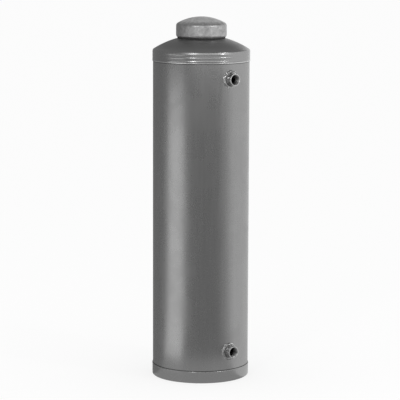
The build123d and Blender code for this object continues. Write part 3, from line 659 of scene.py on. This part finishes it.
def weld_bead(name, node, height, seed):
    """A hand-run ring of weld: overlapping ripples, uneven toes and lumps, laid round the jacket."""
    inner = SOCKET_RADIUS - WELD_OVERLAP
    outer = WELD_OUTER_RADIUS + WELD_OVERLAP
    profile = []
    for point in range(WELD_POINTS + 1):
        share = point / WELD_POINTS
        crown = sin(pi * (WELD_CROWN_START + share * WELD_CROWN_SPAN))
        profile.append((outer + (inner - outer) * share, WELD_RISE * crown - WELD_TOE_DEPTH))
    profile += [(inner, -WELD_DEPTH), (outer, -WELD_DEPTH)]
    piece = spun_ring(name, profile, height, WELD_STEPS)
    for vertex in piece.data.vertices:
        place = vertex.co
        rise = -place.y
        if rise > -WELD_TOE_DEPTH:
            spot = Vector((place.x, place.z - height, seed))
            across = hypot(place.x, place.z - height)
            turn = atan2(place.x, place.z - height) / (2 * pi)
            share = (across - SOCKET_RADIUS) / (WELD_OUTER_RADIUS - SOCKET_RADIUS)
            lumps = zip(WELD_LUMPS_PER_METRE, WELD_LUMP_RISES)
            lump = sum(noise.noise(spot * scale) * lump_rise for scale, lump_rise in lumps)
            bow = WELD_RIPPLE_BOW * (share - WELD_RIPPLE_MIDDLE) ** 2
            stray = WELD_RIPPLE_STRAY * noise.noise(spot * WELD_STRAYS_PER_METRE)
            ripple = abs(sin(pi * (WELD_RIPPLES * turn + bow + stray))) * WELD_RIPPLE_RISE
            keep = max(0.0, min(1.0, (rise + WELD_TOE_DEPTH) / WELD_BLEND))
            rise += keep * (lump + ripple - WELD_SINK)
            wander = noise.noise(spot * WELD_WANDERS_PER_METRE + WELD_WANDER_SHIFT) * WELD_WANDER
            growth = 1 + max(0.0, share) * wander
            place.x *= growth
            place.z = height + (place.z - height) * growth
        place.y = -(sqrt(JACKET_RADIUS ** 2 - place.x ** 2) + rise)
    bpy.ops.object.shade_smooth_by_angle(angle=radians(60))
    fit_piece(piece, node, [weld_metal])


threaded_socket("hot_outlet_thread", "hot_outlet_socket", OUTLET_HEIGHT)
threaded_socket("cold_inlet_thread", "cold_inlet_socket", INLET_HEIGHT)
weld_bead("hot_outlet_bead", "hot_outlet_weld", OUTLET_HEIGHT, seed=1.7)
weld_bead("cold_inlet_bead", "cold_inlet_weld", INLET_HEIGHT, seed=5.3)


# Studio: camera, sky, floor, cards and lamps


def towards(azimuth, elevation=0.0):
    """A direction from the tank. Azimuths are degrees to the right of the camera, as the camera sees it."""
    turn = CAMERA_TURN - radians(azimuth)
    level = cos(radians(elevation))
    return Vector((-sin(turn) * level, -cos(turn) * level, sin(radians(elevation))))


lens = bpy.data.cameras.new("camera")
lens.lens = CAMERA_LENS
lens.sensor_width = CAMERA_SENSOR
camera = bpy.data.objects.new("camera", lens)
scene.collection.objects.link(camera)
camera.location = towards(0) * CAMERA_DISTANCE + Vector((0, 0, CAMERA_HEIGHT))
camera.rotation_euler = (pi / 2 - CAMERA_TILT, CAMERA_ROLL, CAMERA_AIM - CAMERA_TURN)
scene.camera = camera


def seen_ray(finish):
    """1 for rays from the camera, or by way of metal and glass, and 0 for other light."""
    rays = finish.node("ShaderNodeLightPath", {}, {}).socket.node.outputs
    camera_ray, glossy_ray, glass_ray = [
        Shade(finish, rays[name]) for name in ("Is Camera Ray", "Is Glossy Ray", "Is Transmission Ray")
    ]
    return finish.math("MAXIMUM", finish.math("MAXIMUM", camera_ray, glossy_ray), glass_ray)


world = bpy.data.worlds.new("studio")
scene.world = world
sky = Finish(world)
fill = sky.node("ShaderNodeBackground", {}, {"Color": grey(1.0), "Strength": SKY_FILL})
white = sky.node("ShaderNodeBackground", {}, {"Color": grey(1.0), "Strength": 1.0})
sky.close(sky.node("ShaderNodeMixShader", {}, {0: seen_ray(sky), 1: fill, 2: white}))

bpy.ops.object.select_all(action="DESELECT")
bpy.ops.mesh.primitive_plane_add(size=FLOOR_SIZE, location=(0, 0, FLOOR_HEIGHT))
floor = bpy.context.object
floor.name = "floor"
paper = new_finish("floor_paper")
matt = paper.node("ShaderNodeBsdfDiffuse", {}, {"Color": grey(FLOOR_TONE)})
glow = paper.node("ShaderNodeEmission", {}, {"Color": grey(1.0), "Strength": 1.0})
paper.close(paper.node("ShaderNodeMixShader", {}, {0: FLOOR_GLOW * seen_ray(paper), 1: matt, 2: glow}))
floor.data.materials.append(paper.owner)


def card(name, start, end, profile, level):
    """A plain paper card that the bare metal shows, turned about the tank's axis from one azimuth to the
    other. The profile gives reach and height."""
    points = [towards(start) * reach + Vector((0, 0, height)) for reach, height in profile]
    piece = drawn_line(name, points)
    bpy.ops.mesh.spin(steps=CARD_STEPS, angle=radians(end - start), center=(0, 0, 0), axis=(0, 0, -1))
    bpy.ops.object.mode_set(mode="OBJECT")
    paint = new_finish(name)
    glow = paint.node("ShaderNodeEmission", {}, {"Color": grey(level), "Strength": 1.0})
    piece.data.materials.append(paint.close(glow))
    piece.active_material.cycles.emission_sampling = "NONE"
    piece.visible_camera = False
    piece.visible_diffuse = False
    piece.visible_shadow = False


def sweep(top):
    """A card that runs out over the floor and then up."""
    return [(SWEEP_START, SWEEP_FLOOR), (CARD_DISTANCE, SWEEP_FLOOR), (CARD_DISTANCE, top)]


# White is left open between and above the cards
upper_flag = [(CARD_DISTANCE, 0.585), (CARD_DISTANCE, CEILING_HEIGHT)]
ceiling = [(CEILING_HOLE, CEILING_HEIGHT), (CEILING_REACH, CEILING_HEIGHT)]
foot_mat = [(MAT_START, MAT_HEIGHT), (MAT_REACH, MAT_HEIGHT)]
card("front_card", -24, 50, sweep(top=0.72), DARK_CARD)
card("front_flag", -39, -24, sweep(top=1.2), DARK_CARD)
card("left_card", -178, -82, sweep(top=CEILING_HEIGHT), DARK_CARD)
card("left_flag", -82, -39, upper_flag, DARK_CARD)
card("right_flag", 50, 70, sweep(top=0.68), MIDDLE_CARD)
card("right_card", 70, 150, sweep(top=1.7), LIGHT_CARD)
card("ceiling_card", -180, 180, ceiling, DARK_CARD)
card("left_mat", -178, -82, foot_mat, DARK_CARD)
card("front_mat", -82, 66, foot_mat, MIDDLE_CARD)
card("right_mat", 66, 182, foot_mat, LIGHT_CARD)


def lamp(name, azimuth):
    """A small round lamp, aimed at the lid's rim."""
    light = bpy.data.lights.new(name, "AREA")
    light.shape = "DISK"
    light.size = LAMP_SIZE
    light.energy = LAMP_POWER
    source = bpy.data.objects.new(name, light)
    scene.collection.objects.link(source)
    outwards = towards(azimuth, LAMP_ELEVATION)
    source.location = outwards * LAMP_DISTANCE + Vector((0, 0, LAMP_AIM_HEIGHT))
    source.rotation_euler = outwards.to_track_quat("Z", "Y").to_euler()
    source.visible_camera = False


lamp("left_lamp", azimuth=-19)
lamp("right_lamp", azimuth=54)
